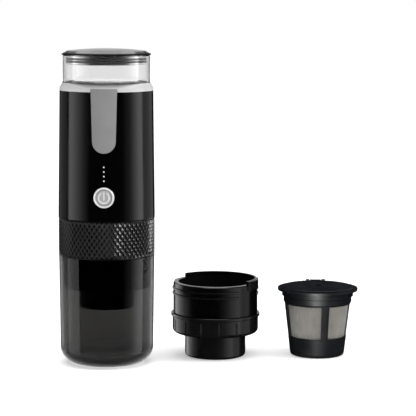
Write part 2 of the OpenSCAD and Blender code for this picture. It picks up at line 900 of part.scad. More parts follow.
// Pod adapter: same bayonet as the fitted holder, with a wide bore for a basket and a raised fence
// that starts in a thick foot
module adapter() {
    ridge_top = adapter_spout_h + adapter_skirt_h + ridge_h;
    rim = ridge_top + chamber_h;
    turn = -49;
    foot_up = chamber_h - 3.6;
    start = turn + gap_arc / 2;
    fence_arc = 179;
    foot_arc = 46;
    color([0.04, 0.04, 0.045])
        translate([adapter_x, adapter_y, 0])
            union() {
                difference() {
                    union() {
                        bayonet_outside(ridge_top, turn, [180]);
                        skirt_outside(ridge_top - ridge_h, adapter_skirt_h, adapter_spout_d / 2,
                            adapter_spout_h);
                    }
                    spin([[0, adapter_spout_h + 2], [wall_r - 6, adapter_spout_h + 2],
                        [wall_r - 3.4, rim - 6], [wall_r - 3.4, rim + 5], [0, rim + 5]]);
                    rod(adapter_spout_d / 2 - 1.3, 2.4, adapter_spout_h + 3);
                    rod(4.5, -1, 3);
                }
                sector(start + 0.6, fence_arc, [[wall_r - 1.6, rim - 0.6], [wall_r - 0.6, rim - 0.6],
                    [wall_r - 0.6, rim + fence_h], [wall_r - 1.6, rim + fence_h]]);
                sector(start + 0.3, foot_arc, [[wall_r - 1.2, ridge_top + foot_up],
                    [rib_r - 0.15, ridge_top + foot_up], [rib_r - 0.15, rim + fence_h - 0.2],
                    [wall_r - 1.2, rim + fence_h - 0.2]]);
            }
}

// Basket: flange, two collars, four ribs with mesh between them and a solid foot
flange_z = basket_h - 1.4;
mesh_top = basket_h - 9.2;
upper_collar_r = flange_d / 2 - 2.75;
lower_collar_r = upper_collar_r - 1.05;
basket_top_r = lower_collar_r - 0.5;
function basket_r(z) = foot_d / 2 + (basket_top_r - foot_d / 2) * (z - 2) / (mesh_top - 2);
basket_wall = 1.3;
strut_at = -79;
strut_arc = 13.4;
pin_y = flange_d / 2 - 0.5;
pin_z = basket_h - 0.1;

module basket_frame() {
    foot = foot_d / 2;
    color([0.06, 0.065, 0.08])
        translate([basket_x, basket_y, 0])
            difference() {
                union() {
                    spin([[0, 0], [foot - 1.5, 0], [foot - 0.4, 0.6], [foot, 2], [basket_top_r, mesh_top],
                        [lower_collar_r, mesh_top + 0.6], [lower_collar_r, mesh_top + 4],
                        [upper_collar_r, mesh_top + 4.4], [upper_collar_r, flange_z],
                        [flange_d / 2, flange_z], [flange_d / 2, basket_h], [0, basket_h]]);
                    for (side = [-1, 1])
                        block(side * 5.1 - 1.1, side * 5.1 + 1.1, pin_y - 1.9, pin_y + 1.2,
                            flange_z, pin_z + 1.2);
                }
                spin([[0, 1.6], [foot - basket_wall - 1, 1.6], [basket_r(3) - basket_wall, 3],
                    [basket_r(mesh_top) - basket_wall, mesh_top], [basket_top_r, mesh_top + 4.4],
                    [basket_top_r, basket_h + 1], [0, basket_h + 1]]);
                for (i = [0 : 3])
                    sector(i * 90 + strut_at + strut_arc / 2, 90 - strut_arc, [[10, foot_h],
                        [30, foot_h], [30, mesh_top - 0.6], [10, mesh_top - 0.6]]);
                block(-3.7, 3.7, pin_y - 1.9, pin_y + 3, flange_z - 1, basket_h + 3);
                rod_x(0.75 + joint_gap, pin_y, pin_z, -9, 9);
            }
}

module basket_mesh() {
    low = foot_h - 2.2;
    high = mesh_top;
    in = basket_wall + joint_gap;
    color([0.55, 0.53, 0.5])
        translate([basket_x, basket_y, 0])
            spin([[basket_r(low) - in - 0.35, low], [basket_r(low) - in, low],
                [basket_r(high) - in, high], [basket_r(high) - in - 0.35, high]]);
}

module basket_lid() {
    low = basket_h + 0.1;
    r = flange_d / 2 - 2.8;
    color([0.06, 0.065, 0.08])
        translate([basket_x, basket_y, 0])
            difference() {
                union() {
                    spin([[2.6, low], [r, low], [r, low + 0.5], [r - 0.8, low + 0.9], [10, low + 1.25],
                        [2.6, low + 1.3]]);
                    block(-3.4, 3.4, r - 3, pin_y, low, low + 0.9);
                    rod_x(1.15, pin_y, pin_z, -3.4, 3.4);
                }
                rod_x(0.75 + running, pin_y, pin_z, -4, 4);
                block(-4.5, 4.5, pin_y + 1.2, pin_y + 4, low - 2, low + 3);
            }
}

module basket_gasket() {
    low = basket_h + 0.1;
    color([0.75, 0.74, 0.71])
        translate([basket_x, basket_y, 0])
            tube(basket_top_r - 0.8, basket_top_r - 3.6, low - 1.2, low);
}

module basket_pin() {
    color([0.75, 0.75, 0.77])
        translate([basket_x, basket_y, 0])
            rod_x(0.75, pin_y, pin_z, -6.1, 6.1);
}

cup();
capsule_holder();
capsule_seat();
exit_spikes();
grip_ring();
brew_pan();
brew_gasket();
piercing_needle();
chassis();
pump_pad();
pump_head();
pump_motor();
inlet_hose();
outlet_hose();
battery_cells();
cell_tabs();
control_board();
board_parts();
status_leds();
light_guide();
tact_switch();
switch_stem();
button_bezel();
button_cap();
button_mark();
charge_board();
charge_socket();
body_shell();
water_tank();
level_window();
tank_strainer();
lid_cap();
lid_plug();
lid_seals();
board_screws();
ring_screws();
tie_screws();
adapter();
basket_frame();
basket_mesh();
basket_lid();
basket_gasket();
basket_pin();
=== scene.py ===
# %% [markdown]
# # A portable capsule coffee maker, its pod adapter and its refillable basket
# The solids come from the CAD model, already in place and in metres. This lesson gives
# them their finishes: polished black, clear and smoky plastic, a knurled grip, woven
# steel, and the parts inside that show when the machine is opened.
# Shapes could be modelled again here, but the CAD solids are exact, so they stay, and
# the work goes into surfaces, light and camera.

# %% Load the solids and keep their box
import math

import bpy
from mathutils import Matrix, Vector


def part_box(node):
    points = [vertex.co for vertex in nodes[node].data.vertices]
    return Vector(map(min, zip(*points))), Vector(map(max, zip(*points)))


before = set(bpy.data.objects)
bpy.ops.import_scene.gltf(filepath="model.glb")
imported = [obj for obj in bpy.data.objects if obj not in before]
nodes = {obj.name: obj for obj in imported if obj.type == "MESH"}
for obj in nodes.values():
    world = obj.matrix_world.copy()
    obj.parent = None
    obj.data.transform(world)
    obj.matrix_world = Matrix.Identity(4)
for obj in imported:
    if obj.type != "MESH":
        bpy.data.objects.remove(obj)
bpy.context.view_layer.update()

# %% [markdown]
# ## Round walls without facets
# A CAD wall arrives as flat strips. Subdividing them would move their points, which must
# stay where the CAD put them. Shading smoothly across small angles, and sharply across
# large ones, hides the strips and keeps every real edge. The knurl's facets meet at small
# angles and have to show, so the ring's limit is lower.

# %% Shade small angles smooth
SHARP_ANGLE = math.radians(32)
FACETED = {"grip_ring": math.radians(12)}


def shade_round(name, piece):
    mesh = piece.data
    mesh.shade_smooth()
    mesh.set_sharp_from_angle(angle=FACETED.get(name, SHARP_ANGLE))


for node_name, piece in nodes.items():
    shade_round(node_name, piece)
print("custom normals:", sum(p.data.has_custom_normals for p in nodes.values()))

# %% [markdown]
# ## Shader maths in plain Python
# A finish is a graph of nodes, and sums in it are chains of Math nodes. They could be
# wired one by one, but that hides the idea. A small class wraps a socket instead and lets
# Python's own operators add the nodes, so that `1 - mask` works.

# %% A socket with operators
class Wire:
    """An output socket of a graph."""

    def __init__(self, graph, socket):
        self.graph, self.socket = graph, socket

    def maths(self, operation, *values):
        """A Math node on the values, also for what has no operator."""
        return self.graph.node(
            "ShaderNodeMath", {"operation": operation}, dict(enumerate(values))
        )

    def __add__(self, other):
        return self.maths("ADD", self, other)

    def __sub__(self, other):
        return self.maths("SUBTRACT", self, other)

    def __rsub__(self, other):
        return self.maths("SUBTRACT", other, self)

    def __mul__(self, other):
        return self.maths("MULTIPLY", self, other)

    def __truediv__(self, other):
        return self.maths("DIVIDE", self, other)

    def __rtruediv__(self, other):
        return self.maths("DIVIDE", other, self)

    def __pow__(self, other):
        return self.maths("POWER", self, other)

    def __rpow__(self, other):
        return self.maths("POWER", other, self)

    def __gt__(self, other):
        return self.maths("GREATER_THAN", self, other)

    def __lt__(self, other):
        return self.maths("LESS_THAN", self, other)

    def __abs__(self):
        return self.maths("ABSOLUTE", self)

    __radd__ = __add__
    __rmul__ = __mul__


print("sockets can be added, multiplied and compared")

# %% [markdown]
# ## One method for every other node
# Noise, ramps and shaders have node types of their own, and each could be made by a few
# lines of its own. One method does for all of them: it takes the type, then the settings,
# which come first because they can change the sockets, then the sockets' values or links.

# %% A graph that makes nodes
def set_stops(elements, stops):
    """Grey stops of a ramp, each a place and a shade. A new ramp has two."""
    for _ in stops[2:]:
        elements.new(1.0)
    for stop, (place, shade) in zip(elements, stops):
        stop.position, stop.color = place, (shade, shade, shade, 1)


class Graph:
    """The node tree of a material, a light or the world."""

    def __init__(self, tree):
        self.tree = tree

    def node(self, kind, settings=None, inputs=None, out=0):
        made = self.tree.nodes.new(kind)
        for key, value in (settings or {}).items():
            if key == "stops":
                set_stops(made.color_ramp.elements, value)
            else:
                setattr(made, key, value)
        for key, value in (inputs or {}).items():
            self.feed(made.inputs[key], value)
        return Wire(self, made.outputs[out])

    def feed(self, socket, value):
        if isinstance(value, Wire):
            self.tree.links.new(value.socket, socket)
        else:
            socket.default_value = value


print("graph tools ready")

# %% [markdown]
# ## Patterns in the object's own metres
# No real surface has one even tone. Image textures could carry its marks, but they need
# unwrapped faces and blur in close views. Noise and distances worked out from the spot's
# own coordinates stay sharp at any size, and stay with a piece that moves.

# %% Noise, places, fades and reliefs
NOISE_SPAN = (0.3, 0.7)  # most values of a noise lie between these


class Patterns(Graph):
    """A graph with masks and reliefs, counted in the object's own metres."""

    def __init__(self, tree):
        super().__init__(tree)
        self.place = self.node("ShaderNodeTexCoord", out="Object")

    def grain(self, size, detail=2.0, rough=0.5, stretch=None):
        """Cloudy noise from 0 to 1 whose blotches are about size metres across."""
        place = self.place
        if stretch:
            place = self.node(
                "ShaderNodeVectorMath", {"operation": "MULTIPLY"}, {0: place, 1: stretch}
            )
        return self.node(
            "ShaderNodeTexNoise",
            inputs={"Vector": place, "Scale": 1 / size, "Detail": detail, "Roughness": rough},
        )

    def from_point(self, point):
        """x, y and z of the shaded spot, counted from a point."""
        offset = self.node(
            "ShaderNodeVectorMath", {"operation": "SUBTRACT"}, {0: self.place, 1: point}
        )
        parts = self.node("ShaderNodeSeparateXYZ", inputs={0: offset}).socket.node
        return [Wire(self, socket) for socket in parts.outputs]

    def fade(self, value, low, high, to_low=0.0, to_high=1.0):
        """value from low..high to to_low..to_high, held at both ends."""
        return self.node(
            "ShaderNodeMapRange",
            inputs={0: value, 1: low, 2: high, 3: to_low, 4: to_high},
        )

    def vary(self, noise, low=0.0, high=1.0):
        """From low to high over most of a noise's values."""
        return self.fade(noise, *NOISE_SPAN, low, high)

    def mix(self, share, first, second):
        """From the colour first to the colour second."""
        return self.node(
            "ShaderNodeMix", {"data_type": "RGBA"}, {0: share, 6: first, 7: second}, out=2
        )

    def bump(self, height, depth, strength=1.0):
        """Normals of a relief of the given depth in metres."""
        return self.node(
            "ShaderNodeBump",
            inputs={"Height": height, "Distance": depth, "Strength": strength},
        )


print("pattern tools ready")

# %% [markdown]
# ## One finish, many pieces
# Each finish is one Principled shader. Numbers that hold all over the surface are set on
# its sockets; what varies is wired in. Each piece could have a material of its own, but
# pieces of the same finish share one, so that a change reaches them all.

# %% Start a finish and vary it
class Finish(Patterns):
    """A material round one Principled shader."""

    def __init__(self, name, **numbers):
        self.material = bpy.data.materials.new(name)
        self.material.use_nodes = True
        super().__init__(self.material.node_tree)
        self.shader = self.tree.nodes["Principled BSDF"]
        self.use(**numbers)

    def use(self, **values):
        """Numbers or wires for the shader's sockets, with _ for a space."""
        for key, value in values.items():
            self.feed(self.shader.inputs[key.replace("_", " ")], value)
        return self

    def second(self, **values):
        """A second shader in the same material."""
        sockets = {key.replace("_", " "): value for key, value in values.items()}
        return self.node("ShaderNodeBsdfPrincipled", inputs=sockets)

    def cover(self, share, coat):
        """Another shader, coat, in place of the main one where share is 1."""
        main = Wire(self, self.shader.outputs[0])
        both = self.node("ShaderNodeMixShader", inputs={0: share, 1: main, 2: coat})
        self.feed(self.tree.nodes["Material Output"].inputs["Surface"], both)


print("finish tools ready")

# %% [markdown]
# ## The camera
# The photograph looks slightly down on the set, from far off, so that verticals stay
# upright. A long lens far away gives the same look, where a short lens close by would
# spread the accessories. The lens is worked out for the square picture. A trace of roll
# sets the machine at the left as upright as it stands in the photograph.

# %% Set the camera
PICTURE_SIDE = 416
FOCAL_PIXELS = 1781
SENSOR_WIDTH = 36
CAMERA_PLACE = Vector((0.0630, -1.100, 0.230))
CAMERA_PITCH = math.radians(6.89)
CAMERA_ROLL = math.radians(0.25)

lens = bpy.data.cameras.new("camera")
lens.sensor_width = SENSOR_WIDTH
lens.lens = FOCAL_PIXELS / PICTURE_SIDE * SENSOR_WIDTH
camera = bpy.data.objects.new("camera", lens)
camera.location = CAMERA_PLACE
tilt = Matrix.Rotation(math.pi / 2 - CAMERA_PITCH, 3, "X")
camera.rotation_euler = (tilt @ Matrix.Rotation(CAMERA_ROLL, 3, "Z")).to_euler()
bpy.context.collection.objects.link(camera)
bpy.context.scene.camera = camera
bpy.context.scene.view_settings.view_transform = "Standard"
print("lens", round(lens.lens, 1), "mm")

# %% [markdown]
# ## A pale floor
# A product table is white and runs on out of sight. A curved paper sweep would do, but
# from the other sides its edge would show, so the floor is a wide disc. Its rings grow
# outwards, which spends few faces far away. Polished black mirrors whatever stands
# before it; the table is kept out of mirror rays, as a black flag would in a studio.

# %% Make the floor
FLOOR_RADIUS = 6.0
FLOOR_RINGS = 24
FLOOR_SIDES = 96
FLOOR_X = 0.0635
FLOOR_DROP = 0.0002


def make_floor():
    mesh = bpy.data.meshes.new("floor")
    turns = [math.tau * i / FLOOR_SIDES for i in range(FLOOR_SIDES)]
    points = [(0, 0, 0)]
    faces = []
    for ring in range(1, FLOOR_RINGS + 1):
        r = FLOOR_RADIUS * (ring / FLOOR_RINGS) ** 2
        points += [(r * math.cos(a), r * math.sin(a), 0) for a in turns]
    for i in range(FLOOR_SIDES):
        j = (i + 1) % FLOOR_SIDES
        faces.append((0, 1 + i, 1 + j))
        for ring in range(FLOOR_RINGS - 1):
            a, b = 1 + ring * FLOOR_SIDES, 1 + (ring + 1) * FLOOR_SIDES
            faces.append((a + i, b + i, b + j, a + j))
    mesh.from_pydata(points, [], faces)
    floor = bpy.data.objects.new("floor", mesh)
    floor.location = (FLOOR_X, 0, -FLOOR_DROP)
    bpy.context.collection.objects.link(floor)
    floor.visible_glossy = False
    return floor


floor = make_floor()
print("floor: disc of", FLOOR_RADIUS, "m with", len(floor.data.polygons), "faces")

# %% [markdown]
# ## Paper that glows a little
# White paper under strong light is nearly as bright as the room behind it. More lamps
# would wash out the set, so the paper gives off a little light of its own, more of it
# under the cup, where the table shows through two walls. Two helpers come first: nearly
# every colour here is a grey, and many marks lie round an axis.

# %% Finish the floor
CUP_TAPER = 0.00075
CUP_FOOT_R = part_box("cup")[1].x - CUP_TAPER
CUP_BEND = 0.0105
GLOW_EDGE = 0.005


def grey(value, warm=0.0):
    """A grey with a little warmth (or, below zero, a little blue)."""
    return (value * (1 + warm), value, value * (1 - warm), 1)


def across(x, y):
    """How far a spot lies from the axis that x and y are counted from."""
    return (x * x + y * y) ** 0.5


paper = Finish("floor_paper", Specular_IOR_Level=0.1, Emission_Strength=1.0)
paper_grain = paper.grain(0.0015, detail=3)
paper_x, paper_y, _ = paper.from_point((-FLOOR_X, 0, 0))
through_cup = paper.fade(
    across(paper_x, paper_y), CUP_FOOT_R - CUP_BEND, CUP_FOOT_R - GLOW_EDGE, 1, 0
)
open_glow = paper.mix(paper_grain, grey(0.28), grey(0.3))
paper.use(
    Base_Color=paper.mix(paper_grain, grey(0.80), grey(0.84)),
    Emission_Color=paper.mix(through_cup, open_glow, grey(0.7)),
    Roughness=paper.fade(paper_grain, 0, 1, 0.7, 0.85),
)
print("paper glows under the cup, radius", round(CUP_FOOT_R * 1000, 1), "mm")

# %% [markdown]
# ## A flag before the set
# Clear walls also mirror light inside themselves, and such light would bring the white
# table in front of the set into the cup. A black sheet there would show in other views.
# So the table turns black only for light that was mirrored on its way, and only in front.

# %% Put up the flag
def in_front(graph, source):
    """1 for light that was mirrored on its way and comes from before the set."""
    mirrored = graph.node("ShaderNodeLightPath", out="Glossy Depth") > 0.5
    forward = graph.node("ShaderNodeSeparateXYZ", inputs={0: source}, out="Y")
    return mirrored * (forward < 0)


flag = paper.node("ShaderNodeBsdfDiffuse", inputs={"Color": grey(0.0)})
paper.cover(in_front(paper, paper.place), flag)
floor.data.materials.append(paper.material)
print("floor wears", paper.material.name)

# %% [markdown]
# ## A white room
# The room is one even white, so the picture's ground has no horizon. A gradient sky
# would tint the clear tank. Mirror rays do not see the room, as with the floor, and the
# same flag holds for light mirrored inside clear walls.

# %% Light the world
world = bpy.data.worlds.new("white_room")
world.use_nodes = True
room = Graph(world.node_tree)
room_light = world.node_tree.nodes["Background"]
room_light.inputs["Color"].default_value = (1, 1, 1, 1)
direction = room.node("ShaderNodeTexCoord", out="Generated")
room.feed(room_light.inputs["Strength"], 1 - in_front(room, direction))
world.cycles_visibility.glossy = False
bpy.context.scene.world = world
print("world:", world.name)

# %% [markdown]
# ## Studio light
# The two soft stripes down the black body are the reflections of two tall softboxes,
# left and right. A plain area light would mirror as a hard-edged bar, so each one fades
# towards the front, as the cloth of a softbox does. Its panel carries a ramp for that.

# %% A softbox with a fade
SET_CENTRE = Vector((0.03, 0, 0.10))
EVEN = [(0.0, 1), (1.0, 1)]
PANEL_POWER = 4  # watts for each square metre and each unit of radiance


def softbox(name, angle, rise, size, radiance, stops=EVEN, far=1.4):
    """A lit panel facing the set. angle is to the right of the camera's side, rise is
    above the table, both in degrees; stops fade the light across the panel."""
    light = bpy.data.lights.new(name, "AREA")
    light.shape = "RECTANGLE"
    light.size, light.size_y = size
    light.energy = radiance * PANEL_POWER * size[0] * size[1]
    light.use_nodes = True
    graph = Graph(light.node_tree)
    panel = graph.node("ShaderNodeNewGeometry", out="Parametric")
    along = graph.node("ShaderNodeSeparateXYZ", inputs={0: panel}, out="X")
    shade = graph.node("ShaderNodeValToRGB", {"stops": stops}, {0: along})
    graph.feed(light.node_tree.nodes["Emission"].inputs["Strength"], shade)
    lamp = bpy.data.objects.new(name, light)
    a, e = math.radians(angle), math.radians(rise)
    away = Vector((math.sin(a) * math.cos(e), -math.cos(a) * math.cos(e), math.sin(e)))
    lamp.location = SET_CENTRE + away * far
    lamp.rotation_euler = away.to_track_quat("Z", "Y").to_euler()
    bpy.context.collection.objects.link(lamp)
    print(name, "at", [round(v, 2) for v in lamp.location])
    return lamp


print("softboxes will face", list(SET_CENTRE))

# %% [markdown]
# ## Lamps for single pieces
# The photograph is put together from pictures of single pieces, each lit by itself. One
# set of lamps for all would leave some pieces dull. Light linking lets a lamp serve
# chosen pieces or spare them, which is simpler than rendering the pieces apart.

# %% Choose what a lamp serves
def only_mirrored(lamp):
    """A card that polished faces mirror, and that lights nothing else."""
    lamp.visible_diffuse = False
    lamp.visible_transmission = False
    return lamp


def link(lamp, state, names):
    pieces = bpy.data.collections.new(lamp.name + "_pieces")
    for name in names:
        pieces.objects.link(nodes[name])
    for entry in pieces.collection_objects:
        entry.light_linking.link_state = state
    lamp.light_linking.receiver_collection = pieces
    return pieces


def only_for(lamp, *names):
    """A card that serves the named pieces alone; no other piece stands in its way."""
    lamp.light_linking.blocker_collection = link(lamp, "INCLUDE", names)


def not_for(lamp, *names):
    """A lamp that spares the named pieces."""
    link(lamp, "EXCLUDE", names)


print("lamp helpers ready")

# %% [markdown]
# ## The main lamps
# Two softboxes make the stripes, a small strong key from the upper right gives the
# sparkle, a panel overhead fills the tops, and two dim cards at the back draw the edges
# of the black body. A key alone would leave the body's sides lost in black.

# %% Hang the main lamps
LEFT_FADE = [(0.25, 1), (0.75, 0.2), (1.0, 0)]
RIGHT_FADE = [(0.0, 0), (0.35, 0.14), (0.75, 1)]

left = softbox("softbox_left", -70, 0, (1.6, 1.8), 1.18, LEFT_FADE)
right = softbox("softbox_right", 71, 0, (1.58, 1.8), 1.35, RIGHT_FADE)
not_for(left, "cup", "adapter", "grip_ring", "basket_frame", "basket_lid", "level_window")
not_for(right, "adapter", "grip_ring", "basket_frame", "basket_mesh", "basket_lid")
key = softbox("key_light", 79, 31, (0.6, 0.45), 8.0)
not_for(key, "grip_ring", "basket_mesh")
softbox("top_light", 0, 88, (1.2, 1.2), 1.6)
back_left = only_mirrored(softbox("card_back_left", -128, 0, (1.1, 1.8), 0.13))
back_right = only_mirrored(softbox("card_back_right", 126, 0, (1.25, 1.8), 0.27))
not_for(back_left, "adapter", "basket_frame")
not_for(back_right, "adapter", "basket_frame", "grip_ring")

# %% [markdown]
# ## Cards for one piece each
# In a studio a card is held near a glossy piece until its reflection looks right. Lamps
# for all would light the pieces beside it too, so each card here is mirrored by one piece
# alone, and only that piece can stand in its way. They serve the lid's dome, which also
# mirrors a canopy, the cup's left wall, the knurl's facets, the adapter's barrel and the
# basket's front. A table keeps them readable: they differ in place, size and strength.

# %% Hang the cards
CARD_LIFT = 0.0015
TABLE_FAR = SET_CENTRE.z - CARD_LIFT
TABLE_FADE = [(0.25, 1), (0.45, 0.25), (0.55, 0.25), (0.75, 1)]

# Angle, rise, size, radiance and, where needed, the fade and the distance
CARDS = {
    "lid_cap": {
        "back_card": (178, 9, (0.9, 0.5), 0.6),
        "lid_strip": (180, 64, (1.4, 0.5), 0.6),
        "lid_canopy": (0, 88, (3.0, 3.0), 2.5),
        "lid_ends": (180, 38, (4.0, 0.6), 0.5),
    },
    "cup": {"cup_card": (-87, 0, (0.96, 1.8), 0.8)},
    "grip_ring": {
        "grip_key": (99, 21, (1.0, 0.28), 8.5, [(0.0, 0.6), (1.0, 1)]),
        "grip_back": (132, 20, (1.2, 1.2), 1.9),
        "grip_left": (-66, 32, (1.2, 0.6), 1.3, [(0.0, 1), (1.0, 0.1)]),
        "grip_right": (75, 0, (1.0, 1.8), 0.5, [(0.0, 0), (1.0, 1)]),
        "grip_table": (0, -90, (0.9, 0.9), 0.25, TABLE_FADE, TABLE_FAR),
    },
    "adapter": {
        "adapter_back": (178, 9, (0.9, 0.5), 0.6),
        "adapter_strip": (180, 45, (1.4, 0.4), 0.5),
        "adapter_left": (-107, 0, (2.19, 1.8), 1.4, [(0.2, 1), (0.65, 0.24), (0.95, 0.03)]),
        "adapter_right": (41, 0, (1.68, 1.8), 0.9, [(0, 0), (0.35, 0.12), (0.6, 0.5), (1, 1)]),
        "adapter_side": (88.5, 0, (0.83, 1.8), 0.36),
    },
    "basket_frame": {"basket_card": (-3, 0, (0.5, 0.5), 21.0)},
}
for served, cards in CARDS.items():
    for name, card in cards.items():
        only_for(only_mirrored(softbox(name, *card)), served)

# %% [markdown]
# ## Polished black
# The body shell is a black moulding with a mirror polish. A black colour alone looks like
# a hole; what shows is the mirror of the room. So the colour stays plain, and the mirror
# is broken up instead: by a faint waviness of the moulding, by specks of dust and by
# wiped smears that are a little less shiny.

# %% Finish the shell
SPECKS = (0.72, 0.78)
SPECK_SHARE = 0.25
SMEARS = (0.35, 0.75)
WAVE_DEPTH = 0.00002


def polished_black(name, shade, smooth, smeared):
    """Black plastic whose roughness goes from smooth to smeared."""
    black = Finish(name, Specular_IOR_Level=0.5)
    smear = black.grain(0.012, detail=4, rough=0.6, stretch=(1, 1, 0.35))
    dust = black.grain(0.0004, detail=1)
    wave = black.grain(0.006, detail=1)
    specks = black.fade(dust, *SPECKS) * SPECK_SHARE
    return black.use(
        Base_Color=black.mix(specks, grey(shade, -0.03), grey(shade * 3)),
        Roughness=black.fade(smear, *SMEARS, smooth, smeared),
        Normal=black.bump(wave, WAVE_DEPTH),
    )


def dress(finish, *names):
    """Put a finish on pieces, in place of what they came with."""
    for name in names:
        slots = nodes[name].data.materials
        slots.clear()
        slots.append(finish.material)
    print(finish.material.name, "on", ", ".join(names))


dress(polished_black("gloss_black", 0.0008, 0.13, 0.2), "body_shell")

# %% [markdown]
# ## The lid and its dull rim
# The lid's top is polished like the shell, but its rim, where fingers lift it, stays a
# dull black. Two materials would need a cut in the solid. A rough version of the same
# black takes over below a height instead, with a short fade.

# %% Finish the lid
LID_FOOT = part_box("lid_cap")[0].z
RIM_FADE = (0.0009, 0.0016)
# pale grey for dust and a painted highlight in the adapter's grooves
GROOVE_DUST_AND_HIGHLIGHT = grey(0.018)


def unpolished(black, dust_and_highlight=0.0):
    """The same plastic as the mould leaves it; where the second argument is 1 it turns
    pale, as dust and as a painted highlight.
    """
    soot = black.grain(0.001, detail=3)
    bare = black.mix(soot, grey(0.002), grey(0.004))
    return black.second(
        Base_Color=black.mix(dust_and_highlight, bare, GROOVE_DUST_AND_HIGHLIGHT),
        Roughness=black.vary(soot, 0.6, 0.8),
        Specular_IOR_Level=0.02,
    )


lid_black = polished_black("lid_black", 0.004, 0.1, 0.18)
_, _, lid_z = lid_black.from_point((0, 0, LID_FOOT))
lid_black.cover(lid_black.fade(lid_z, *RIM_FADE, 1, 0), unpolished(lid_black))
dress(lid_black, "lid_cap")

# %% [markdown]
# ## The clear tank
# The tank is one moulding: a clear collar, then a shoulder and, inside the shell, a water
# space with frosted walls. Alpha would make it a ghost; transmission bends the light at
# the collar's walls. A faint haze in tint and roughness keeps it a used thing.

# %% Clear the collar
TANK_IOR = 1.49
HAZE_SPAN = (0.45, 0.8)

clear = Finish("clear_tank", Transmission_Weight=1.0, IOR=TANK_IOR, Specular_IOR_Level=0.5)
haze = clear.grain(0.01, detail=3, stretch=(1, 1, 0.3))
clear.use(
    Base_Color=clear.mix(haze, grey(0.915), grey(0.875)),
    Roughness=clear.fade(haze, *HAZE_SPAN, 0.015, 0.07),
)
print("tank bends light by", TANK_IOR)

# %% [markdown]
# ## The frosted shoulder
# Under the collar the tank's walls are frosted. A second solid would cut the moulding in
# two, so a pale, scattering shader takes over by height. In front and behind it fades in
# over a longer way than at the sides, which leaves the dark lens that shows under the
# collar.

# %% Frost the shoulder and put it on
SHOULDER_RISE = 0.0053
COLLAR_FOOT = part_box("body_shell")[1].z + SHOULDER_RISE
FROST_TOP = -0.0003
FROST_FULL = (-0.0034, -0.0006)
FROST_ASIDE = (0.008, 0.022)

etched = clear.grain(0.0003, detail=2)
milky = clear.second(
    Base_Color=clear.mix(etched, grey(0.5), grey(0.57)),
    Roughness=clear.vary(etched, 0.3, 0.45),
    Transmission_Weight=0.25,
    IOR=TANK_IOR,
)
tank_x, _, tank_z = clear.from_point((0, 0, COLLAR_FOOT))
frost_full = clear.fade(abs(tank_x), *FROST_ASIDE, *FROST_FULL)
clear.cover(clear.fade(tank_z, FROST_TOP, frost_full), milky)
dress(clear, "water_tank")
print("frosted below", round(COLLAR_FOOT * 1000, 1), "mm")

# %% [markdown]
# ## Frosted level window
# The tongue down the front is frosted, so the water line shows only as a soft shadow.
# Rough glass would let all the light through and turn black over the dark bay, so it
# lets through a part and scatters the rest. A fine etched grain keeps its highlight dull.

# %% Finish the window
frost = Finish("frosted_window", Transmission_Weight=0.25, IOR=TANK_IOR)
etch = frost.grain(0.00025, detail=2)
cloud = frost.grain(0.009, detail=2)
frost.use(
    Base_Color=frost.mix(cloud, grey(0.23), grey(0.283)),
    Roughness=frost.vary(etch, 0.42, 0.56),
    Normal=frost.bump(etch, 0.00003, 0.6),
)
dress(frost, "level_window")

# %% [markdown]
# ## Smoky cup
# The cup is tinted see-through plastic. The tint of a transmissive shader darkens light
# each time it passes a wall, so the middle, seen through two walls, is near black. The
# tint is painted paler at the edges, where the wall is seen at a slant, as a painted rim
# light, and at the flat base, as painted light. A volume would tint it too, but stays
# grainy for long in a render.

# %% Tint the cup
CUP_IOR = 1.42
PAINTED_BASE_HEIGHTS = (0.0006, 0.0012)
SOFT_SLANT = (0.3, 0.7)
SHARP_SLANT = (0.75, 0.95)
RUB_SPAN = (0.4, 0.75)

smoke = Finish("smoky_cup", Transmission_Weight=1.0, IOR=CUP_IOR)
rub = smoke.grain(0.012, detail=4, rough=0.6)
fine = smoke.grain(0.0007, detail=2)
slant = smoke.node("ShaderNodeLayerWeight", inputs={"Blend": 0.5}, out="Facing")
cup_x, cup_y, cup_z = smoke.from_point((0, 0, 0))
# painted rim light: the tint turns paler where the wall is seen at a slant
painted_rim_light = smoke.fade(slant, *SOFT_SLANT) * 0.5 + smoke.fade(slant, *SHARP_SLANT) * 0.4
# painted light: the tint turns paler at the flat base
painted_base_light = smoke.fade(cup_z, *PAINTED_BASE_HEIGHTS, 1, 0)
tint = smoke.mix(rub, grey(0.155, 0.015), grey(0.14, 0.015))
smoke.use(
    Base_Color=smoke.mix(painted_rim_light.maths("MAXIMUM", painted_rim_light, painted_base_light), tint, grey(0.4)),
    Roughness=smoke.fade(rub, *RUB_SPAN, 0.02, 0.09),
    Normal=smoke.bump(fine, 0.000004),
)
print("cup tinted, foot radius", round(CUP_FOOT_R * 1000, 1), "mm")

# %% [markdown]
# ## Scuffed foot
# In a polished bend light runs round inside the plastic and never comes out, which shows
# as a black sickle. Real cups have a slightly scuffed foot that lets it out. More light
# would not help, so the outside of the bend gets a rough version of the same plastic,
# found by its distance from the bend's own centre line. Its sheen draws the light rim.

# %% Scuff the foot and put it on
BEND_SKIN = 0.0006
BEND_START = 0.001
SCUFF_ENDS = (0.005, 0.0105)

from_bend = across(cup_x, cup_y) - (CUP_FOOT_R - CUP_BEND)
on_skin = across(from_bend, cup_z - CUP_BEND) > CUP_BEND - BEND_SKIN
outside = on_skin * (from_bend > BEND_START)
foot = smoke.second(
    # the foot's colour is also painted paler at its slanted edges, as painted rim light
    Base_Color=smoke.mix(painted_rim_light, smoke.mix(rub, grey(0.22), grey(0.19)), grey(0.7)),
    Roughness=smoke.vary(fine, 0.6, 0.7),
    Transmission_Weight=1.0,
    IOR=CUP_IOR,
    Sheen_Weight=1.0,
    Sheen_Roughness=0.3,
)
smoke.cover(outside * smoke.fade(cup_z, *SCUFF_ENDS, 1, 0), foot)
dress(smoke, "cup")

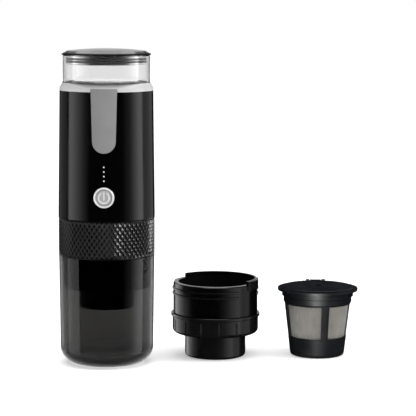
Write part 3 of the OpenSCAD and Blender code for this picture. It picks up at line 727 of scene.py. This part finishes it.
# %% [markdown]
# ## Knurled grip
# The ring's diamonds are real facets in the solid. Their finish is a satin black whose
# points are polished by hands, so they get smoother towards the outside. A pale grey is
# painted in the grooves, as dust and as painted light on the groove walls, and draws the
# lattice. Painting lines would miss the real grooves; the distance from the ring's axis
# finds them.

# %% Finish the ring
RING_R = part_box("grip_ring")[1].x
KNURL_DEPTH = 0.00075
DUST_AND_LIGHT_RISE = 0.00025
POLISH_DEPTH = 0.0006

grip = Finish("grip_black", Specular_IOR_Level=0.8)
ring_x, ring_y, _ = grip.from_point((0, 0, 0))
out_r = across(ring_x, ring_y)
tops = grip.fade(out_r, RING_R - POLISH_DEPTH, RING_R)
groove_dust_and_light = grip.fade(out_r, RING_R - KNURL_DEPTH, RING_R - KNURL_DEPTH + DUST_AND_LIGHT_RISE, 1, 0)
mottle = grip.grain(0.0006, detail=2)
grip.use(
    # pale grey in the grooves: dust and painted light
    Base_Color=grip.mix(groove_dust_and_light, grey(0.0025), grip.mix(mottle, grey(0.022), grey(0.034))),
    Roughness=grip.fade(tops + mottle * 0.3, 0, 1.2, 0.2, 0.13),
    Normal=grip.bump(mottle, 0.000006, 0.4),
)
dress(grip, "grip_ring")
print("ring radius", round(RING_R * 1000, 2), "mm")

# %% [markdown]
# ## The button's ring
# A bright satin ring sits round the button. Pure metal would mirror the dark side of the
# room and turn black in patches, so it is only part metal. A noise stretched from front
# to back gives it a fine grain.

# %% Finish the button's ring
bright = Finish("bright_ring", Metallic=0.3)
satin_lines = bright.grain(0.0003, detail=2, stretch=(1, 0.1, 1))
bright.use(
    Base_Color=bright.mix(satin_lines, grey(0.70), grey(0.80)),
    Roughness=bright.vary(satin_lines, 0.28, 0.4),
)
dress(bright, "button_bezel")

# %% [markdown]
# ## The button's face and mark
# The face is grey lacquer with a metallic fleck, and a lighter power mark stands on it.
# A picture could paint the mark, but it is a solid of its own, so a second finish sets it
# apart and keeps its edge sharp.

# %% Finish the face and the mark
lacquer = Finish("button_grey", Metallic=0.25)
fleck = lacquer.grain(0.00012, detail=1)
lacquer.use(
    Base_Color=lacquer.mix(fleck, grey(0.33), grey(0.43)),
    Roughness=lacquer.vary(fleck, 0.34, 0.5),
)
dress(lacquer, "button_cap")

mark = Finish("mark_light")
mark_grain = mark.grain(0.0002)
mark.use(
    Base_Color=mark.mix(mark_grain, grey(0.50), grey(0.58)),
    Roughness=mark.fade(mark_grain, 0, 1, 0.35, 0.5),
)
dress(mark, "button_mark")

# %% [markdown]
# ## Four lights
# The dots are the ends of a light guide: each shows a small bright core, and the end
# round it is painted dark, as painted shade from the shell's hole. A lamp behind each
# would need a long render to come through, so the cores give off light themselves. They
# repeat upwards, so the fraction of the height finds all four at once.

# %% Light the dots
GUIDE_LOW, GUIDE_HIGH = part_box("light_guide")
GUIDE_MIDDLE = (GUIDE_LOW + GUIDE_HIGH) / 2
DOT_PITCH = 0.0028
DOT_EDGE = (0.00024, 0.00042)
DOTS_BELOW = 8  # keeps the count of dots above zero

glow = Finish("light_pipe", Emission_Strength=0.9)
glow_grain = glow.grain(0.0003)
dot_x, _, dot_z = glow.from_point(GUIDE_MIDDLE)
dot_count = dot_z / DOT_PITCH + DOTS_BELOW
dot_up = (dot_count.maths("FRACT", dot_count) - 0.5) * DOT_PITCH
lit = glow.fade(across(dot_x, dot_up), *DOT_EDGE, 1, 0)
glow.use(
    # the guide's end round each core is painted dark: painted shade from the shell's hole
    Base_Color=glow.mix(lit, grey(0.02), glow.mix(glow_grain, grey(0.5), grey(0.58))),
    Emission_Color=glow.mix(lit, grey(0.0), glow.mix(glow_grain, grey(0.85), grey(1.0))),
    Roughness=glow.fade(glow_grain, 0, 1, 0.2, 0.35),
)
dress(glow, "light_guide")

# %% [markdown]
# ## The capsule holder
# The fitted holder shows through the smoky cup as a dark body with a spout. The shell's
# own finish would mirror too sharply there, so the same helper makes a duller black,
# worn by daily handling.

# %% Finish the holder
dress(polished_black("adapter_black", 0.005, 0.2, 0.32), "capsule_holder")

# %% [markdown]
# ## The pod adapter
# The adapter is glossy outside, but its bore and the floors of its skirt's grooves are
# left as the mould made them, and a pale grey is painted in the grooves, as dust and as a
# painted highlight. A second material slot would need those faces picked out; masks by
# radius and height find them in the shader.

# %% Find the adapter's bore and grooves
ADAPTER_LOW, ADAPTER_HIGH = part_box("adapter")
ADAPTER_MIDDLE = (ADAPTER_LOW + ADAPTER_HIGH) / 2
BORE_R = 0.0237
BORE_FLOOR = 0.0168
GROOVES_LOW, GROOVES_HIGH = 0.018, 0.0246
GROOVE_FLOOR_R = 0.0269
GROOVE_PALE_R = 0.02706

pod_black = polished_black("pod_adapter_black", 0.0035, 0.16, 0.28)
pod_x, pod_y, pod_z = pod_black.from_point((ADAPTER_MIDDLE.x, ADAPTER_MIDDLE.y, 0))
pod_r = across(pod_x, pod_y)
inside = (pod_r < BORE_R) * (pod_z > BORE_FLOOR)
grooved = (pod_r > BORE_R) * (pod_z > GROOVES_LOW) * (pod_z < GROOVES_HIGH)
in_groove = grooved * pod_black.fade(pod_r, GROOVE_FLOOR_R, GROOVE_PALE_R, 1, 0)
# the grooves get a pale grey: dust and a painted highlight
pod_black.cover(inside + in_groove, unpolished(pod_black, in_groove))
print("adapter's axis at", [round(v, 4) for v in ADAPTER_MIDDLE.xy])

# %% [markdown]
# ## Barrel, ribs and skirt
# The adapter's barrel is a deeper black than its skirt, and its locking ribs, which rub
# in the machine, are painted a little paler, as wear and as a painted highlight. One black
# for all would sink the ribs into the barrel. Height tells barrel from skirt, and radius
# finds the ribs.

# %% Colour the adapter and put it on
BARREL_FOOT = 0.0278
RIB_R = 0.0275
RIB_WEAR_AND_HIGHLIGHT = (RIB_R - 0.0003, RIB_R - 0.0001)

scuffs = pod_black.grain(0.003, detail=4)
rib_wear_and_highlight = pod_black.fade(pod_r, *RIB_WEAR_AND_HIGHLIGHT)
# ribs painted paler: wear and a painted highlight
barrel = pod_black.mix(rib_wear_and_highlight, grey(0.001), grey(0.0045))
skirt = pod_black.mix(scuffs, grey(0.0035), grey(0.0055))
pod_black.use(Base_Color=pod_black.mix(pod_z > BARREL_FOOT, skirt, barrel))
dress(pod_black, "adapter")

# %% [markdown]
# ## The basket's frame
# The frame and its lid are a blue-black satin moulding, worn a little smoother where it
# is handled. A plain dark grey would look like the adapter; the hint of blue sets it
# apart.

# %% Finish the basket's frame and lid
satin = Finish("basket_plastic", Specular_IOR_Level=0.5)
spark = satin.grain(0.0003, detail=2)
worn = satin.grain(0.01, detail=4)
satin.use(
    Base_Color=satin.mix(worn, (0.0036, 0.0045, 0.0064, 1), (0.0058, 0.007, 0.0096, 1)),
    Roughness=satin.vary(worn, 0.36, 0.5),
    Normal=satin.bump(spark, 0.000012, 0.5),
)
dress(satin, "basket_frame", "basket_lid")

# %% [markdown]
# ## Out of the machine's mirror
# The polished machine does not mirror the accessories in the photograph, nor do they show
# through its cup. They could stand further off, but their places belong to the object.
# Hiding them from mirrored and refracted rays leaves them where they are.

# %% Hide the accessories from mirror rays
ACCESSORIES = ("adapter", "basket_frame", "basket_mesh", "basket_lid")
for name in ACCESSORIES:
    nodes[name].visible_glossy = False
    nodes[name].visible_transmission = False
print("not mirrored:", ", ".join(ACCESSORIES))

# %% [markdown]
# ## Steel gauze
# The windows of the basket hold woven steel. Real wires by the thousand would only
# flicker at this size, so the gauze solid carries a weave worked out from its angle and
# height: wires over and under, and between them holes painted dark, as painted shade of
# the basket's dark inside.

# %% Weave the gauze
GAUZE_LOW, GAUZE_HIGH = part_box("basket_mesh")
GAUZE_MIDDLE = (GAUZE_LOW + GAUZE_HIGH) / 2
WIRE_COUNT = 340
WIRE_PITCH = 0.00035
WIRE_EDGES = (0.2, 0.66)
WIRE_HEIGHT = 0.65
WEAVE_SWING = 0.35

gauze = Finish("mesh_steel", Metallic=0.35)
gauze_x, gauze_y, gauze_z = gauze.from_point((GAUZE_MIDDLE.x, GAUZE_MIDDLE.y, 0))
turn = gauze_x.maths("ARCTAN2", gauze_y, gauze_x) * (WIRE_COUNT / math.tau) + WIRE_COUNT
rise = gauze_z / WIRE_PITCH


def woven(count):
    """1 along a wire's middle, 0 in the hole beside it."""
    part = count.maths("FRACT", count)
    return gauze.fade(abs(part * 2 - 1), *WIRE_EDGES, 1, 0)


upright, level = woven(turn), woven(rise)
wave_a = turn.maths("SINE", turn * math.pi)
wave_b = rise.maths("SINE", rise * math.pi)
over = wave_a * wave_b * WEAVE_SWING
relief = over.maths("MAXIMUM", upright * (WIRE_HEIGHT + over), level * (WIRE_HEIGHT - over))
print("gauze:", WIRE_COUNT, "upright wires, level ones every", WIRE_PITCH * 1000, "mm")

# %% [markdown]
# ## Stained wire
# Coffee stains steel gauze in clouds, and in streaks where it runs down. One colour would
# look like cloth, so two noises, one of them stretched upright, share one stain. The
# weave's relief paints the holes dark, as painted shade, and through the bump gives the
# wires their round light.

# %% Colour the gauze and put it on
HOLE_EDGES = (0.02, 0.25)

tarnish = gauze.grain(0.006, detail=3)
streak = gauze.grain(0.0011, detail=2, stretch=(1, 1, 0.12))
stain = gauze.vary(tarnish * 0.6 + streak * 0.4)
wire_colour = gauze.mix(stain, (0.34, 0.325, 0.298, 1), (0.49, 0.468, 0.43, 1))
gauze.use(
    # holes painted dark: painted shade of the basket's inside
    Base_Color=gauze.mix(gauze.fade(relief, *HOLE_EDGES), grey(0.05, 0.03), wire_colour),
    Roughness=gauze.vary(tarnish, 0.38, 0.5),
    Normal=gauze.bump(relief, 0.00012, 0.7),
)
dress(gauze, "basket_mesh")

# %% [markdown]
# ## Silicone
# Seals are moulded silicone: no gloss, a soft bloom of talc and a slightly cloudy
# colour. Pale ones press on coffee, grey ones seal the lid, a dark pad cushions the pump.
# Light scattered under the skin would suit it, but hardly shows on thin rings, so one
# noise varies the colour, the roughness and the skin.

# %% Finish the seals, hoses and pad
def silicone(name, shade, warm):
    soft = Finish(name, Specular_IOR_Level=0.35)
    bloom = soft.grain(0.002, detail=4)
    return soft.use(
        Base_Color=soft.mix(bloom, grey(shade, warm), grey(shade * 0.82 + 0.01, warm)),
        Roughness=soft.vary(bloom, 0.5, 0.7),
        Normal=soft.bump(bloom, 0.00001, 0.4),
    )


dress(silicone("silicone_pale", 0.62, 0.05), "brew_gasket", "basket_gasket")
dress(silicone("silicone_dark", 0.012, 0.0), "pump_pad")
dress(silicone("silicone_clear", 0.1, 0.0), "lid_seals")
dress(silicone("hose_rubber", 0.7, 0.03), "inlet_hose", "outlet_hose")

# %% [markdown]
# ## Steel
# Needle, spikes, pin, strainer, motor can and screws are plain steel. Turned and drawn
# steel has fine lines. An anisotropic shader would stretch the highlight but show no
# line; a stretched noise gives the lines and breaks up the mirror.

# %% Finish the steel pieces
def drawn_steel(name, stretch, low, high):
    steel = Finish(name, Metallic=0.8)
    lines = steel.grain(0.0008, detail=4, stretch=stretch)
    patina = steel.grain(0.006, detail=3)
    return steel.use(
        Base_Color=steel.mix(patina, grey(0.55, 0.01), grey(0.66, 0.015)),
        Roughness=steel.vary(lines, low, high),
        Normal=steel.bump(lines, 0.000004, 0.5),
    )


dress(
    drawn_steel("steel_turned", (1, 1, 12), 0.2, 0.36), "piercing_needle", "exit_spikes",
    "pump_motor", "tank_strainer", "board_screws", "ring_screws", "tie_screws",
)
dress(
    drawn_steel("steel_drawn", (0.1, 1, 1), 0.24, 0.4), "basket_pin", "cell_tabs",
    "charge_socket",
)

# %% [markdown]
# ## Plain mouldings inside
# Seat, pan, tray and pump are technical mouldings: a satin skin with the fine
# spark-eroded texture of the tool, and slight clouding from the flow of the melt. Moving
# the faces would take far more of them, so the skin is a bump. The plug under the lid is
# plated, which the same recipe gives with metal and a smoother skin.

# %% Finish the inner mouldings
def moulding(name, shade, warm=0.0, low=0.45, high=0.6, metal=0.0):
    plain = Finish(name, Metallic=metal)
    skin = plain.grain(0.0003, detail=2)
    flow = plain.grain(0.008, detail=3, stretch=(1, 1, 0.4))
    return plain.use(
        Base_Color=plain.mix(flow, grey(shade, warm), grey(shade * 1.25, warm)),
        Roughness=plain.vary(skin, low, high),
        Normal=plain.bump(skin, 0.000012, 0.5),
    )


dress(moulding("inner_plastic", 0.03), "capsule_seat", "brew_pan", "chassis")
dress(moulding("plug_grey", 0.72, low=0.2, high=0.3, metal=0.9), "lid_plug")
dress(moulding("pump_plastic", 0.6, 0.03), "pump_head")
dress(moulding("parts_black", 0.015), "board_parts", "tact_switch")
dress(moulding("led", 0.75, 0.08, 0.2, 0.35), "status_leds")

# %% [markdown]
# ## Circuit boards
# The boards sit in the closed bay: green solder mask over copper tracks. Drawing each
# track would be a job of its own for a piece that no view shows closely, so a wave that
# wanders a little stands for them, in colour and as a faint relief.

# %% Finish the boards
MASK_GREEN = (0.012, 0.075, 0.035, 1)
TRACK_GREEN = (0.02, 0.13, 0.06, 1)
TRACK_EDGE = (0.6, 0.7)

board = Finish("board")
tracks = board.node(
    "ShaderNodeTexWave",
    {"wave_type": "BANDS", "bands_direction": "X"},
    {"Vector": board.place, "Scale": 260.0, "Distortion": 3.0, "Detail": 1.0},
)
board.use(
    Base_Color=board.mix(board.fade(tracks, *TRACK_EDGE), MASK_GREEN, TRACK_GREEN),
    Roughness=board.fade(tracks, 0, 1, 0.3, 0.4),
    Normal=board.bump(tracks, 0.00002, 0.5),
)
dress(board, "control_board", "charge_board")

# %% [markdown]
# ## Cells and switch stem
# The cells wear blue wrap that was shrunk on in the heat and wrinkles a little; modelled
# wrinkles would be finer than the cell's own faces, so a stretched noise raises them. The
# small red stem under the button only needs a fine grain.

# %% Finish the cells and the stem
wrap = Finish("cell_wrap")
wrinkle = wrap.grain(0.003, detail=3, stretch=(1, 1, 0.3))
wrap.use(
    Base_Color=wrap.mix(wrinkle, (0.01, 0.05, 0.16, 1), (0.015, 0.075, 0.22, 1)),
    Roughness=wrap.vary(wrinkle, 0.2, 0.35),
    Normal=wrap.bump(wrinkle, 0.00005, 0.5),
)
dress(wrap, "battery_cells")

stem = Finish("stem_red")
stem_grain = stem.grain(0.0003)
stem.use(
    Base_Color=stem.mix(stem_grain, (0.28, 0.02, 0.015, 1), (0.36, 0.03, 0.02, 1)),
    Roughness=stem.fade(stem_grain, 0, 1, 0.4, 0.55),
)
dress(stem, "switch_stem")
